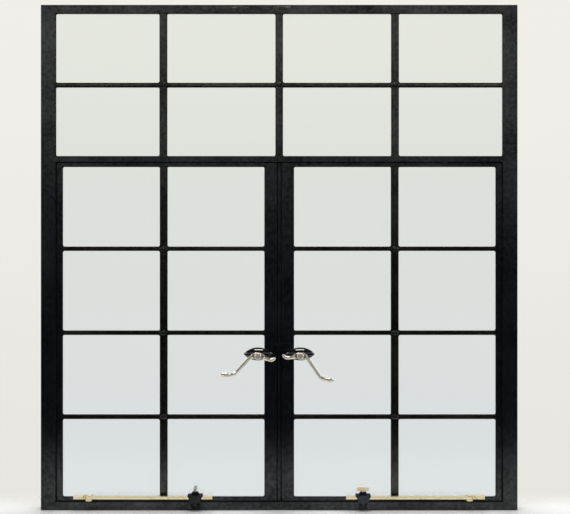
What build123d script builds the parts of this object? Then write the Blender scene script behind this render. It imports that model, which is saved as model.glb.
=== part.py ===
from build123d import *
import math
import os

os.makedirs("parts", exist_ok=True)

# A steel window: two leaves that open outwards under a fixed toplight.
# X runs to the right seen from the room, Y to the outside and Z up.
# The origin is the middle of the sill's underside, in the plane of the frame's room face.
# Every length is in millimetres.

# Overall sizes of the fixed frame
frame_width = 1000
frame_height = 1060
frame_depth = 35

# Angle sections of the fixed frame
flange_thickness = 6
web_thickness = 6
jamb_face = 31
head_face = 18
sill_face = 17.5
fixing_hole = 7
fixing_from_end = 265
fixing_depth = 27
bar_round = 1.2

# Transom and mullion
transom_bottom = 729.5
transom_face = 13.5
transom_web_up = 5.5
transom_web = 4
member_depth = 26.5
mullion_width = 6

# Glazing bars
upright_bar_face = 16
upright_bar_web = 4
cross_bar_face = 9.3
cross_bar_web = 3
toplight_bar_recess = 1
upright_web_reach = 18
leaf_upright_reach = 15
cross_web_reach = 14
slot_clearance = 0.2
glazing_round = 2.2

# Glass and putty
glass_thickness = 4
glass_bed = 0.5
glass_edge_gap = 1
putty_height = 8
putty_width = 11
putty_nose = 1.2

# Leaf sections
leaf_clearance = 0.3
leaf_plate = 5
leaf_web = 5
leaf_outer_flange = 4
leaf_depth = 24.7
leaf_bar_recess = 0.7
hinge_edge_gap = 12
hinge_flange_reach = 6
hinge_sight = 13
meeting_gap = 2
meeting_flange_gap = 0.8
meeting_stile_face = 26.3
top_lap = 4
top_flange_reach = 4.5
top_sight = 8.5
bottom_gap = 1.5
bottom_sight = 8.9
bottom_pane_less = 4.8
leaf_rows = 4

# Hinges
hinge_inset = 7
hinge_stand_off = 5
hinge_length = 60
hinge_leaf_knuckle = 24
hinge_gap = 0.5
hinge_radius = 7
hinge_plate = 3
hinge_plate_start = 2
hinge_strap_length = 18
hinge_from_leaf_end = 103
pin_radius = 3.5
pin_clearance = 0.12
pin_head_radius = 5.5
pin_head_height = 2.5

# Handles
handle_inset = 44.5
handle_height = 324
plate_length = 61
plate_height = 27.5
plate_dome = 8
plate_rise = 3
plate_rivet_inset = 20
plate_rivet_spread = 9
plate_rivet_radius = 2
rivet_clearance = 0.05
hub_length = 29
hub_height = 14.4
hub_thickness = 8.5
hub_gap = 0.4
hub_edge = 1.6
pivot_radius = 3
pivot_depth = 5
pivot_head_radius = 7.2
pivot_head_height = 3.6
pivot_head_edge = 2.6
arm_reach = 73.5
arm_drop = 43.5
arm_room = 12
arm_width = 8.4
arm_thickness = 7.4
nose_reach = 37
nose_drop = 6.3
nose_back = 4.5
nose_width = 8.6
nose_thickness = 7.4
left_handle_turn = -4.9
right_handle_turn = 4.9
arm_out_shares = (0, 0.18, 0.29, 0.43, 0.555, 0.645, 0.755, 0.865, 0.955, 1)
arm_drop_shares = (0, 0.07, 0.27, 0.56, 0.82, 0.945, 0.99, 1, 0.995, 0.99)
arm_room_shares = (0, 0.05, 0.2, 0.5, 0.8, 0.95, 1, 1, 1, 1)
arm_size_shares = (1, 0.96, 0.86, 0.76, 0.78, 1, 0.78, 1.22, 0.98, 0.4)
nose_out_shares = (0, 0.33, 0.6, 0.82, 0.95, 1)
nose_drop_shares = (0, 0.5, 0.95, 0.95, 0.45, 0.15)
nose_back_shares = (0, 0.3, 0.7, 0.95, 1, 1)
nose_size_shares = (0.95, 0.92, 0.9, 1, 0.82, 0.4)
limb_steps = 4

# Striking plate on the mullion
strike_width = 40
strike_height = 16
strike_thickness = 3
strike_above_pivot = 9
strike_corner = 4
strike_edge = 1

# Stays
stay_pivot_from_edge = 84
stay_guide_span = 222.5
stay_length = 258.5
stay_bottom = 25.3
stay_height = 5.9
stay_width = 11
stay_in_front = 6
stay_eye_radius = 7
stay_end_corner = 2
stay_pivot_radius = 2.5
stay_pivot_head = 4.5
stay_pivot_head_height = 1.6
stay_play = 0.3
stay_rivet_round = 1.2
bracket_reach = 32
bracket_block = 21
bracket_back = 3
lug_thickness = 3
lug_radius = 8

# Stay guides
guide_side_play = 2.2
guide_under_play = 0.5
guide_wall = 3.3
guide_corner = 1.5
guide_width = 25.5
guide_shoulder = 31
guide_shoulder_height = 2.6
guide_shoulder_slope = 3.4
guide_roof = 2.3
guide_boss_base = 19
guide_boss_top = 13.5
guide_boss_height = 5.6
guide_sill_gap = 0.4
guide_stud_radius = 3.2
guide_stud_head = 5
guide_stud_head_height = 2
foot_width = 18
foot_shelf = 4
foot_back = 4
foot_drop = 15.5
foot_screw_radius = 1.9
foot_screw_head = 3.1
foot_screw_head_height = 1.8
foot_screw_round = 1.3
foot_screw_slot = 0.8
foot_screw_slot_depth = 0.8
foot_screw_spread = 10
foot_screw_height = 6
screw_clearance = 0.1

# Thumbscrews
thumb_radius = 2.5
thumb_clearance = 0.15
thumb_neck = 2.6
thumb_width = 27
thumb_height = 8.5
thumb_thickness = 5.4
thumb_edge = 1.2
left_thumb_turn = 90
right_thumb_turn = 0

# One length that carries every cut past the faces it opens
overrun = 2

# Places worked out from the sizes above
half_width = frame_width / 2
jamb_edge = half_width - jamb_face
jamb_web_face = half_width - web_thickness
head_edge = frame_height - head_face
head_web_face = frame_height - web_thickness
transom_top = transom_bottom + transom_face
transom_web_bottom = transom_bottom + transom_web_up
transom_web_top = transom_web_bottom + transom_web
toplight_glass_y = flange_thickness + glass_bed
leaf_face = flange_thickness + leaf_clearance
leaf_plate_back = leaf_face + leaf_plate
leaf_back = leaf_face + leaf_depth
leaf_flange_front = leaf_back - leaf_outer_flange
leaf_glass_y = leaf_plate_back + glass_bed
leaf_hinge_edge = jamb_web_face - hinge_edge_gap
leaf_hinge_web = leaf_hinge_edge - leaf_web
leaf_hinge_sight = jamb_edge - hinge_sight
leaf_meeting_edge = mullion_width / 2 + meeting_gap
leaf_meeting_web = leaf_meeting_edge + leaf_web
leaf_meeting_sight = leaf_meeting_edge + meeting_stile_face
leaf_top = transom_bottom + top_lap
leaf_top_web = leaf_top - leaf_web
leaf_top_sight = transom_bottom - top_sight
leaf_bottom = web_thickness + bottom_gap
leaf_bottom_web = leaf_bottom + leaf_web
leaf_bottom_sight = sill_face + bottom_sight
leaf_middle = (leaf_hinge_sight + leaf_meeting_sight) / 2
leaf_glazed = leaf_top_sight - leaf_bottom_sight - (leaf_rows - 1) * cross_bar_face
leaf_pane = (leaf_glazed + bottom_pane_less) / leaf_rows
leaf_pitch = leaf_pane + cross_bar_face
leaf_cross_heights = [
    leaf_top_sight - (leaf_rows - row) * leaf_pitch + cross_bar_face / 2 for row in range(1, leaf_rows)
]
toplight_cross_height = (transom_top + head_edge) / 2
hinge_x = jamb_web_face - hinge_inset
hinge_y = frame_depth + hinge_stand_off
hinge_heights = [leaf_bottom + hinge_from_leaf_end, leaf_top - hinge_from_leaf_end]
stay_pivot_inset = leaf_hinge_edge - stay_pivot_from_edge
stay_guide_inset = stay_pivot_inset - stay_guide_span
stay_bar_end = stay_pivot_inset - stay_length
bracket_end = stay_pivot_inset + bracket_reach
stay_y = -stay_in_front
stay_top = stay_bottom + stay_height
lug_top = stay_bottom - guide_under_play
lug_bottom = lug_top - lug_thickness
guide_floor_bottom = sill_face + guide_sill_gap
guide_channel_bottom = stay_bottom - guide_under_play
guide_channel_top = stay_top + guide_under_play
guide_roof_top = guide_channel_top + guide_roof
guide_top = guide_roof_top + guide_boss_height
guide_half_depth = stay_width / 2 + guide_side_play + guide_wall
sides = {"left": -1, "right": 1}
lower_edge = slice(0, 1)
upper_edge = slice(1, 2)
handle_turns = {"left": left_handle_turn, "right": right_handle_turn}
thumb_turns = {"left": left_thumb_turn, "right": right_thumb_turn}


def save(part, name):
    part.label = name
    export_step(part, f"parts/{name}.step")


def upright_bar(section, low, high, cope=(), ease=bar_round, eased=slice(None)):
    """A bar with its section drawn in plan, its room-side edges eased, cut to fit round other bars."""
    with BuildPart() as bar:
        with BuildSketch(Plane.XY.offset(low)):
            with BuildLine():
                Polyline(*section, close=True)
            make_face()
        extrude(amount=high - low)
        front_edges = bar.edges().filter_by(Axis.Z).group_by(Axis.Y)[0].sort_by(Axis.X)
        fillet(front_edges[eased], ease)
        for other in cope:
            add(other, mode=Mode.SUBTRACT)
    return bar.part


def level_bar(section, start, end, cope=(), ease=bar_round, eased=slice(None)):
    """A bar with its section drawn across it, running in X, eased and cut in the same way."""
    with BuildPart() as bar:
        with BuildSketch(Plane.YZ.offset(min(start, end))):
            with BuildLine():
                Polyline(*section, close=True)
            make_face()
        extrude(amount=abs(end - start))
        front_edges = bar.edges().filter_by(Axis.X).group_by(Axis.Y)[0].sort_by(Axis.Z)
        fillet(front_edges[eased], ease)
        for other in cope:
            add(other, mode=Mode.SUBTRACT)
    return bar.part


def tee(middle, face, web, front, back, reach):
    """The corners of a glazing bar's tee: its face to the room and its web to the outside."""
    return [
        (middle - face / 2, front),
        (middle + face / 2, front),
        (middle + face / 2, back),
        (middle + web / 2, back),
        (middle + web / 2, back + reach),
        (middle - web / 2, back + reach),
        (middle - web / 2, back),
        (middle - face / 2, back),
    ]


def turned(section):
    return [(across, along) for along, across in section]


def slotted(bar, x, heights, front):
    """Slots in an upright bar's web, which the cross bars' webs pass through."""
    slot_depth = cross_web_reach + slot_clearance
    with BuildPart() as cut:
        add(bar)
        with BuildSketch(Plane.YZ.offset(x - upright_bar_web / 2 - overrun)):
            for height in heights:
                with Locations((front + slot_depth / 2, height)):
                    Rectangle(slot_depth, cross_bar_web + slot_clearance * 2)
        extrude(amount=upright_bar_web + overrun * 2, mode=Mode.SUBTRACT)
    return cut.part


def panes(columns, rows, front):
    """One pane for each gap between the webs, short of them by the edge gap."""
    with BuildPart() as glass:
        with BuildSketch(Plane.XZ.offset(-front)):
            for left, right in columns:
                for low, high in rows:
                    with Locations(((left + right) / 2, (low + high) / 2)):
                        Rectangle(right - left - glass_edge_gap * 2, high - low - glass_edge_gap * 2)
        extrude(amount=-glass_thickness)
    return glass.part


def putty(columns, rows, sights_x, sights_z, front):
    """A bevelled fillet of putty round each pane, from the webs to the sight line."""
    with BuildPart() as fillet_rings:
        for (left, right), (left_sight, right_sight) in zip(columns, sights_x):
            for (low, high), (low_sight, high_sight) in zip(rows, sights_z):
                left_in = left + min(left_sight - left, putty_width)
                right_in = right - min(right - right_sight, putty_width)
                low_in = low + min(low_sight - low, putty_width)
                high_in = high - min(high - high_sight, putty_width)
                with BuildSketch(Plane.XZ.offset(-front)):
                    with Locations(((left + right) / 2, (low + high) / 2)):
                        Rectangle(right - left, high - low)
                extrude(amount=-putty_height)
                with BuildSketch(Plane.XZ.offset(-front)):
                    with Locations(((left_in + right_in) / 2, (low_in + high_in) / 2)):
                        Rectangle(right_in - left_in, high_in - low_in)
                with BuildSketch(Plane.XZ.offset(-front - putty_height)):
                    with Locations(((left + right) / 2, (low + high) / 2)):
                        Rectangle(right - left - putty_nose * 2, high - low - putty_nose * 2)
                loft(mode=Mode.SUBTRACT)
    return fillet_rings.part


def jamb(side):
    section = [
        (side * half_width, 0),
        (side * jamb_edge, 0),
        (side * jamb_edge, flange_thickness),
        (side * jamb_web_face, flange_thickness),
        (side * jamb_web_face, frame_depth),
        (side * half_width, frame_depth),
    ]
    bar = upright_bar(section, 0, frame_height, eased=upper_edge if side < 0 else lower_edge)
    with BuildPart() as drilled:
        add(bar)
        with BuildSketch(Plane.YZ.offset(side * half_width)):
            with Locations(
                (fixing_depth, fixing_from_end),
                (fixing_depth, frame_height - fixing_from_end),
            ):
                Circle(fixing_hole / 2)
        extrude(amount=web_thickness + overrun, both=True, mode=Mode.SUBTRACT)
    return drilled.part


def sill(jambs):
    section = [
        (0, 0),
        (0, sill_face),
        (flange_thickness, sill_face),
        (flange_thickness, web_thickness),
        (frame_depth, web_thickness),
        (frame_depth, 0),
    ]
    bar = level_bar(section, -jamb_web_face, jamb_web_face, jambs, eased=upper_edge)
    with BuildPart() as drilled:
        add(bar)
        with BuildSketch(Plane.XZ):
            for side in sides.values():
                with Locations((side * stay_guide_inset, foot_screw_height)):
                    with GridLocations(foot_screw_spread, 0, 2, 1):
                        Circle(foot_screw_radius + screw_clearance)
        extrude(amount=-flange_thickness - overrun, mode=Mode.SUBTRACT)
    return drilled.part


def hinge_stile(side):
    section = [
        (side * leaf_hinge_sight, leaf_face),
        (side * leaf_hinge_edge, leaf_face),
        (side * leaf_hinge_edge, leaf_flange_front),
        (side * (leaf_hinge_edge + hinge_flange_reach), leaf_flange_front),
        (side * (leaf_hinge_edge + hinge_flange_reach), leaf_back),
        (side * leaf_hinge_web, leaf_back),
        (side * leaf_hinge_web, leaf_plate_back),
        (side * leaf_hinge_sight, leaf_plate_back),
    ]
    return upright_bar(section, leaf_bottom, leaf_top)


def meeting_stile(side):
    section = [
        (side * leaf_meeting_sight, leaf_face),
        (side * leaf_meeting_edge, leaf_face),
        (side * leaf_meeting_edge, leaf_flange_front),
        (side * meeting_flange_gap, leaf_flange_front),
        (side * meeting_flange_gap, leaf_back),
        (side * leaf_meeting_web, leaf_back),
        (side * leaf_meeting_web, leaf_plate_back),
        (side * leaf_meeting_sight, leaf_plate_back),
    ]
    bar = upright_bar(section, leaf_bottom, leaf_top)
    with BuildPart() as drilled:
        add(bar)
        with BuildSketch(Plane.XZ.offset(-leaf_face)):
            with Locations((side * (handle_inset - plate_rivet_inset), handle_height + plate_rise)):
                with GridLocations(0, plate_rivet_spread, 1, 2):
                    Circle(plate_rivet_radius + rivet_clearance)
        extrude(amount=-leaf_plate, mode=Mode.SUBTRACT)
    return drilled.part


def top_rail(side, stiles):
    section = [
        (leaf_face, leaf_top_sight),
        (leaf_face, leaf_top),
        (leaf_flange_front, leaf_top),
        (leaf_flange_front, leaf_top + top_flange_reach),
        (leaf_back, leaf_top + top_flange_reach),
        (leaf_back, leaf_top_web),
        (leaf_plate_back, leaf_top_web),
        (leaf_plate_back, leaf_top_sight),
    ]
    return level_bar(section, side * leaf_meeting_web, side * leaf_hinge_web, stiles)


def bottom_rail(side, stiles):
    section = [
        (leaf_face, leaf_bottom),
        (leaf_face, leaf_bottom_sight),
        (leaf_plate_back, leaf_bottom_sight),
        (leaf_plate_back, leaf_bottom_web),
        (leaf_back, leaf_bottom_web),
        (leaf_back, leaf_bottom),
    ]
    return level_bar(section, side * leaf_meeting_web, side * leaf_hinge_web, stiles)


def hinge_frame_halves(side):
    """Two plates on the jamb's web, each with an upper and a lower knuckle."""
    end_knuckle = (hinge_length - hinge_leaf_knuckle) / 2 - hinge_gap
    plate_back = hinge_y - hinge_radius - hinge_gap
    plate_front = flange_thickness + hinge_plate_start
    plate_x = side * (jamb_web_face - hinge_plate / 2)
    with BuildPart() as halves:
        for height in hinge_heights:
            low = height - hinge_length / 2
            with BuildSketch(Plane.XY.offset(low)):
                with Locations((plate_x, (plate_front + plate_back) / 2)):
                    Rectangle(hinge_plate, plate_back - plate_front)
            extrude(amount=hinge_length)
            for start in (low, low + hinge_length - end_knuckle):
                with BuildSketch(Plane.XY.offset(start)):
                    with Locations((plate_x, (plate_front + hinge_y) / 2)):
                        Rectangle(hinge_plate, hinge_y - plate_front)
                    with Locations((side * hinge_x, hinge_y)):
                        Circle(hinge_radius)
                        Circle(pin_radius + pin_clearance, mode=Mode.SUBTRACT)
                extrude(amount=end_knuckle)
    return halves.part


def hinge_straps(side):
    """Two straps on the leaf's outer flange, each with the middle knuckle of its hinge."""
    strap_end = hinge_x - hinge_strap_length
    strap_back = hinge_y - hinge_radius + hinge_plate / 2
    with BuildPart() as straps:
        for height in hinge_heights:
            with BuildSketch(Plane.XY.offset(height - hinge_leaf_knuckle / 2)):
                with Locations((side * (hinge_x + strap_end) / 2, (leaf_back + strap_back) / 2)):
                    Rectangle(hinge_strap_length, strap_back - leaf_back)
                with Locations((side * hinge_x, hinge_y)):
                    Circle(hinge_radius)
                    Circle(pin_radius + pin_clearance, mode=Mode.SUBTRACT)
            extrude(amount=hinge_leaf_knuckle)
    return straps.part


def hinge_pins():
    """Pins through both hinges of both leaves, with a rounded head at each end."""
    half_pin = hinge_length / 2 + hinge_gap / 2
    with BuildPart() as pins:
        for side in sides.values():
            for height in hinge_heights:
                centre = (side * hinge_x, hinge_y, height)
                with BuildSketch(Plane(origin=centre, x_dir=(1, 0, 0), z_dir=(0, -1, 0))):
                    with BuildLine():
                        Line((0, -half_pin - pin_head_height), (0, half_pin + pin_head_height))
                        RadiusArc(
                            (0, half_pin + pin_head_height),
                            (pin_head_radius, half_pin),
                            (pin_head_radius**2 + pin_head_height**2) / (2 * pin_head_height),
                        )
                        Polyline(
                            (pin_head_radius, half_pin),
                            (pin_radius, half_pin),
                            (pin_radius, -half_pin),
                            (pin_head_radius, -half_pin),
                        )
                        RadiusArc(
                            (pin_head_radius, -half_pin),
                            (0, -half_pin - pin_head_height),
                            (pin_head_radius**2 + pin_head_height**2) / (2 * pin_head_height),
                        )
                    make_face()
                revolve(axis=Axis(centre, (0, 0, 1)))
    return pins.part


def handle_plate(side):
    """An almond-shaped domed plate: a slice off a spindle turned about X, trimmed by two arcs."""
    half_length = plate_length / 2
    half_height = plate_height / 2
    sink = (half_height**2 - plate_dome**2) / (2 * plate_dome)
    middle = side * handle_inset
    height = handle_height + plate_rise
    tips = [(middle - half_length, height), (middle + half_length, height)]
    centre = (middle, leaf_face + sink, height)
    with BuildPart() as plate:
        with BuildSketch(Plane(origin=centre, x_dir=(1, 0, 0), z_dir=(0, 0, -1))):
            with BuildLine():
                Polyline((half_length, sink), (half_length, 0), (-half_length, 0), (-half_length, sink))
                ThreePointArc((-half_length, sink), (0, sink + plate_dome), (half_length, sink))
            make_face()
        revolve(axis=Axis(centre, (1, 0, 0)))
        split(bisect_by=Plane(origin=(0, leaf_face, 0), z_dir=(0, -1, 0)), keep=Keep.TOP)
        with BuildSketch(Plane.XZ.offset(-leaf_face)):
            with BuildLine():
                ThreePointArc(tips[0], (middle, height + half_height), tips[1])
                ThreePointArc(tips[1], (middle, height - half_height), tips[0])
            make_face()
        extrude(amount=plate_dome + overrun, mode=Mode.INTERSECT)
        with BuildSketch(Plane.XZ.offset(-leaf_face)):
            with Locations((side * (handle_inset - plate_rivet_inset), handle_height + plate_rise)):
                with GridLocations(0, plate_rivet_spread, 1, 2):
                    Circle(plate_rivet_radius + rivet_clearance)
        extrude(amount=plate_dome + overrun, mode=Mode.SUBTRACT)
        with BuildSketch(Plane.XZ.offset(-leaf_face + plate_dome - pivot_depth)):
            with Locations((side * handle_inset, handle_height)):
                Circle(pivot_radius + rivet_clearance)
        extrude(amount=pivot_depth + overrun, mode=Mode.SUBTRACT)
    return plate.part


def plate_rivets(side):
    """Two flush rivets that hold the handle's plate to the meeting stile."""
    half_height = plate_height / 2
    sink = (half_height**2 - plate_dome**2) / (2 * plate_dome)
    curve = ((plate_length / 2) ** 2 + plate_dome**2) / (2 * plate_dome)
    spindle = sink + plate_dome - curve + math.sqrt(curve**2 - plate_rivet_inset**2)
    edge = plate_rivet_spread / 2 + plate_rivet_radius
    seat = math.sqrt(spindle**2 - edge**2) - sink
    with BuildPart() as rivets:
        with BuildSketch(Plane.XZ.offset(-leaf_plate_back)):
            with Locations((side * (handle_inset - plate_rivet_inset), handle_height + plate_rise)):
                with GridLocations(0, plate_rivet_spread, 1, 2):
                    Circle(plate_rivet_radius)
        extrude(amount=leaf_plate + seat)
    return rivets.part


hub_back = leaf_face - plate_dome - hub_gap
hub_front = hub_back - hub_thickness
hub_middle = (hub_back + hub_front) / 2


def handle_point(turn, out, up, y):
    """A point of a handle, out from the mullion and up from its pivot, with its arm lowered by turn."""
    angle = math.radians(turn)
    out_turned = out * math.cos(angle) + up * math.sin(angle)
    up_turned = up * math.cos(angle) - out * math.sin(angle)
    return Vector(handle_inset + out_turned, y, handle_height + up_turned)


def across(curve, mark):
    """The plane across a curve at a mark along it, with its first axis as near as can be to Y."""
    along = curve.tangent_at(mark)
    depth = Vector(0, 1, 0) - along * along.Y
    return Plane(origin=curve.position_at(mark), x_dir=depth, z_dir=along)


def limb_sections(points, sizes):
    """Planes across a curve through the points, each with its section's size, eased between points."""
    curve = Spline(*points, mode=Mode.PRIVATE)
    marks = [curve.param_at_point(point) for point in points]
    sections = []
    for mark, next_mark, size, next_size in zip(marks, marks[1:], sizes, sizes[1:]):
        for step in range(limb_steps):
            share = step / limb_steps
            eased_share = (1 - math.cos(math.pi * share)) / 2
            plane = across(curve, mark + (next_mark - mark) * share)
            sections.append((plane, size + (next_size - size) * eased_share))
    sections.append((across(curve, marks[-1]), sizes[-1]))
    return sections


def handle(side, turn):
    """A lever with an oval hub, an arm that ends in a foot and a knob, and a nose that curls up."""
    arm_points = [
        handle_point(turn, arm_reach * out, -arm_drop * drop, hub_middle - arm_room * room)
        for out, drop, room in zip(arm_out_shares, arm_drop_shares, arm_room_shares)
    ]
    nose_points = [
        handle_point(turn, -nose_reach * out, -nose_drop * drop, hub_middle + nose_back * back)
        for out, drop, back in zip(nose_out_shares, nose_drop_shares, nose_back_shares)
    ]
    arm = limb_sections(arm_points, arm_size_shares)
    nose = limb_sections(nose_points, nose_size_shares)
    with BuildPart() as lever:
        with BuildSketch(Plane.XZ.offset(-hub_back)):
            with Locations((handle_inset, handle_height)):
                Ellipse(hub_length / 2, hub_height / 2, rotation=-turn)
        extrude(amount=hub_thickness)
        fillet(lever.edges().sort_by(Axis.Y)[0], hub_edge)
        for plane, size in arm:
            with BuildSketch(plane):
                Ellipse(arm_thickness * size / 2, arm_width * size / 2)
        loft(ruled=True)
        for plane, size in nose:
            with BuildSketch(plane):
                Ellipse(nose_thickness * size / 2, nose_width * size / 2)
        loft(ruled=True)
        with BuildSketch(Plane.XZ.offset(-hub_back)):
            with Locations((handle_inset, handle_height)):
                Circle(pivot_radius + pin_clearance)
        extrude(amount=hub_thickness + overrun, both=True, mode=Mode.SUBTRACT)
        if side < 0:
            mirror(about=Plane.YZ, mode=Mode.REPLACE)
    return lever.part


def handle_pivot(side):
    """The rivet that a handle turns on, with a broad domed head."""
    shank_end = leaf_face - plate_dome + pivot_depth
    head_back = hub_front - hub_gap
    with BuildPart() as rivet:
        with BuildSketch(Plane.XZ.offset(-shank_end)):
            with Locations((side * handle_inset, handle_height)):
                Circle(pivot_radius)
        extrude(amount=shank_end - head_back)
        with BuildSketch(Plane.XZ.offset(-head_back)):
            with Locations((side * handle_inset, handle_height)):
                Circle(pivot_head_radius)
        extrude(amount=pivot_head_height)
        fillet(rivet.edges().sort_by(Axis.Y)[0], pivot_head_edge)
    return rivet.part


def striking_plate():
    """A plate on the mullion that the noses slide in front of when the arms are lowered."""
    with BuildPart() as plate:
        with BuildSketch(Plane.XZ.offset(-flange_thickness)):
            with Locations((0, handle_height + strike_above_pivot + strike_height / 2)):
                RectangleRounded(strike_width, strike_height, strike_corner)
        extrude(amount=strike_thickness)
        chamfer(plate.faces().sort_by(Axis.Y)[0].edges(), strike_edge)
    return plate.part


def stay_bracket(side):
    """A plate on the bottom rail with a block beyond the stay's eye and a round lug under it."""
    block_front = stay_y - stay_width / 2
    block_middle = side * (bracket_end - bracket_block / 2)
    back_start = stay_pivot_inset - lug_radius
    back_front = leaf_face - bracket_back
    with BuildPart() as bracket:
        with BuildSketch(Plane.XY.offset(stay_bottom)):
            with Locations((block_middle, (block_front + leaf_face) / 2)):
                Rectangle(bracket_block, leaf_face - block_front)
        extrude(amount=stay_height)
        fillet(bracket.edges().filter_by(Axis.Z).group_by(Axis.Y)[0], stay_end_corner)
        with BuildSketch(Plane.XY.offset(lug_bottom)):
            with Locations((side * (back_start + bracket_end) / 2, (back_front + leaf_face) / 2)):
                Rectangle(bracket_end - back_start, bracket_back)
        extrude(amount=stay_top - lug_bottom)
        with BuildSketch(Plane.XY.offset(lug_bottom)):
            with Locations((side * stay_pivot_inset, (stay_y + leaf_face) / 2)):
                Rectangle(lug_radius * 2, leaf_face - stay_y)
            with Locations((side * stay_pivot_inset, stay_y)):
                Circle(lug_radius)
                Circle(stay_pivot_radius + pin_clearance, mode=Mode.SUBTRACT)
        extrude(amount=lug_thickness)
    return bracket.part


def stay_rivet(side):
    """The rivet that a stay swings on, with a head under the lug and one over the bar."""
    head_bottom = stay_top + stay_play
    with BuildPart() as rivet:
        with BuildSketch(Plane.XY.offset(lug_bottom)):
            with Locations((side * stay_pivot_inset, stay_y)):
                Circle(stay_pivot_radius)
        extrude(amount=head_bottom - lug_bottom)
        with BuildSketch(Plane.XY.offset(lug_bottom)):
            with Locations((side * stay_pivot_inset, stay_y)):
                Circle(stay_pivot_head)
        extrude(amount=-stay_pivot_head_height)
        fillet(rivet.edges().sort_by(Axis.Z)[0], stay_rivet_round)
        with BuildSketch(Plane.XY.offset(head_bottom)):
            with Locations((side * stay_pivot_inset, stay_y)):
                Circle(stay_pivot_head)
        extrude(amount=stay_pivot_head_height)
        fillet(rivet.edges().sort_by(Axis.Z)[-1], stay_rivet_round)
    return rivet.part


def stay_bar(side):
    """A flat bar with a round eye at its pivot and eased corners at its free end."""
    with BuildPart() as bar:
        with BuildSketch(Plane.XY.offset(stay_bottom)):
            with Locations((side * (stay_pivot_inset + stay_bar_end) / 2, stay_y)):
                Rectangle(stay_length, stay_width)
            with Locations((side * stay_pivot_inset, stay_y)):
                Circle(stay_eye_radius)
                Circle(stay_pivot_radius + pin_clearance, mode=Mode.SUBTRACT)
        extrude(amount=stay_height)
        fillet(bar.edges().filter_by(Axis.Z).group_by(Axis.X)[-1 if side < 0 else 0], stay_end_corner)
    return bar.part


def stay_guide(side):
    """A swivelling yoke that the stay slides through, with a boss for the thumbscrew."""
    x = side * stay_guide_inset
    shoulder_bottom = guide_roof_top - guide_shoulder_height
    slope_bottom = shoulder_bottom - guide_shoulder_slope
    taper = math.degrees(math.atan2((guide_boss_base - guide_boss_top) / 2, guide_boss_height))
    channel_width = stay_width + guide_side_play * 2
    with BuildPart() as guide:
        with BuildSketch(Plane.XZ.offset(-stay_y + guide_half_depth)):
            with BuildLine():
                Polyline(
                    (x - guide_width / 2, guide_floor_bottom),
                    (x + guide_width / 2, guide_floor_bottom),
                    (x + guide_width / 2, slope_bottom),
                    (x + guide_shoulder / 2, shoulder_bottom),
                    (x + guide_shoulder / 2, guide_roof_top),
                    (x - guide_shoulder / 2, guide_roof_top),
                    (x - guide_shoulder / 2, shoulder_bottom),
                    (x - guide_width / 2, slope_bottom),
                    close=True,
                )
            make_face()
        extrude(amount=-guide_half_depth * 2)
        fillet(guide.edges().filter_by(Axis.Z), guide_corner)
        with BuildSketch(Plane.XY.offset(guide_roof_top)):
            with Locations((x, stay_y)):
                Circle(guide_boss_base / 2)
        extrude(amount=guide_boss_height, taper=taper)
        with BuildSketch(Plane.YZ.offset(x)):
            with Locations((stay_y, (guide_channel_bottom + guide_channel_top) / 2)):
                Rectangle(channel_width, guide_channel_top - guide_channel_bottom)
        extrude(amount=guide_shoulder / 2 + overrun, both=True, mode=Mode.SUBTRACT)
        with BuildSketch(Plane.XY.offset(guide_channel_top - overrun)):
            with Locations((x, stay_y)):
                Circle(thumb_radius + thumb_clearance)
        extrude(amount=guide_top - guide_channel_top + overrun * 2, mode=Mode.SUBTRACT)
        stud_length = guide_floor_bottom - sill_face + foot_shelf + guide_sill_gap
        with BuildSketch(Plane.XY.offset(guide_floor_bottom)):
            with Locations((x, stay_y)):
                Circle(guide_stud_radius)
        extrude(amount=-stud_length)
        with BuildSketch(Plane.XY.offset(guide_floor_bottom - stud_length)):
            with Locations((x, stay_y)):
                Circle(guide_stud_head)
        extrude(amount=-guide_stud_head_height)
    return guide.part


def guide_foot(side):
    """A foot on the sill's face, with a round shelf that carries the guide's stud."""
    x = side * stay_guide_inset
    shelf_bottom = sill_face - foot_shelf
    foot_bottom = sill_face - foot_drop
    with BuildPart() as foot:
        with BuildSketch(Plane.XY.offset(shelf_bottom)):
            with Locations((x, stay_y / 2)):
                Rectangle(foot_width, -stay_y)
            with Locations((x, stay_y)):
                Circle(foot_width / 2)
        extrude(amount=foot_shelf)
        with BuildSketch(Plane.XY.offset(foot_bottom)):
            with Locations((x, -foot_back / 2)):
                Rectangle(foot_width, foot_back)
        extrude(amount=foot_drop)
        split(bisect_by=Plane.XZ, keep=Keep.TOP)
        with BuildSketch(Plane.XY.offset(shelf_bottom)):
            with Locations((x, stay_y)):
                Circle(guide_stud_head + stay_play)
        extrude(amount=-guide_stud_head_height - guide_sill_gap - stay_play, mode=Mode.SUBTRACT)
        with BuildSketch(Plane.XY.offset(shelf_bottom)):
            with Locations((x, stay_y)):
                Circle(guide_stud_radius + pin_clearance)
        extrude(amount=foot_shelf, mode=Mode.SUBTRACT)
        with BuildSketch(Plane.XZ):
            with Locations((x, foot_screw_height)):
                with GridLocations(foot_screw_spread, 0, 2, 1):
                    Circle(foot_screw_radius + screw_clearance)
        extrude(amount=foot_back + overrun, mode=Mode.SUBTRACT)
    return foot.part


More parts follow.
